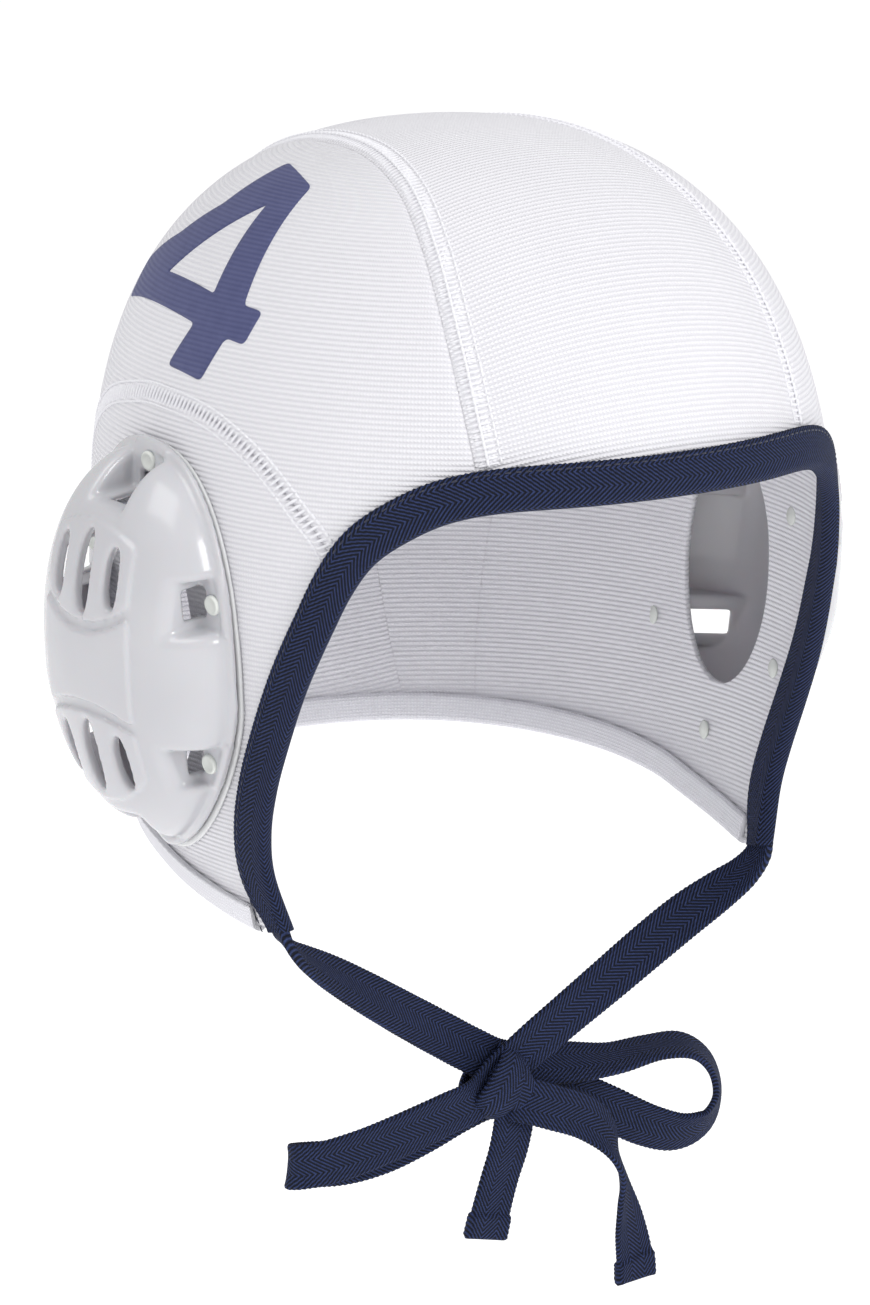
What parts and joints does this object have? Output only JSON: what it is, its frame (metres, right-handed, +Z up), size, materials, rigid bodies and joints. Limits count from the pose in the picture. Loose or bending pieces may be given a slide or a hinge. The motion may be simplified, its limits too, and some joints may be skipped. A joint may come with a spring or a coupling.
{
  "type": "water polo cap",
  "caption": "Fabric head cap with two ear flaps, a vented plastic guard riveted over each ear, and tape ties bowed under the chin.",
  "frame": {"origin": "where the top of the wearer's head meets the inside of the crown, on the cap's middle plane", "axes": "+Z up, -Y to the front of the wearer, -X to the wearer's right"},
  "size_m": [0.1998, 0.1909, 0.2758],
  "materials": {
    "white_fabric": "matte, finely ribbed stretch knit",
    "navy_tape": "matte herringbone twill tape",
    "guard_plastic": "glossy moulded white plastic",
    "rivet_plastic": "slightly clouded off-white plastic",
    "clear_ring": "clouded, slightly see-through soft plastic"
  },
  "bodies": {
    "root": {"crown_panel": "white_fabric", "edge_binding": "navy_tape", "nape_hem": "white_fabric", "side_panel_right": "white_fabric", "ear_flap_right": "white_fabric", "ear_guard_right": "guard_plastic", "seat_ring_right": "clear_ring", "rivet_front_upper_right": "rivet_plastic", "rivet_back_upper_right": "rivet_plastic", "rivet_front_lower_right": "rivet_plastic", "rivet_back_lower_right": "rivet_plastic", "rivet_top_right": "rivet_plastic", "rivet_bottom_right": "rivet_plastic", "side_panel_left": "white_fabric", "ear_flap_left": "white_fabric", "ear_guard_left": "guard_plastic", "seat_ring_left": "clear_ring", "rivet_front_upper_left": "rivet_plastic", "rivet_back_upper_left": "rivet_plastic", "rivet_front_lower_left": "rivet_plastic", "rivet_back_lower_left": "rivet_plastic", "rivet_top_left": "rivet_plastic", "rivet_bottom_left": "rivet_plastic", "tie_strap_right": "navy_tape", "tie_strap_left": "navy_tape", "bow_loop_right": "navy_tape", "bow_loop_left": "navy_tape", "tie_tail_short": "navy_tape", "tie_tail_long": "navy_tape", "tie_knot": "navy_tape"}
  },
  "joints": []
}
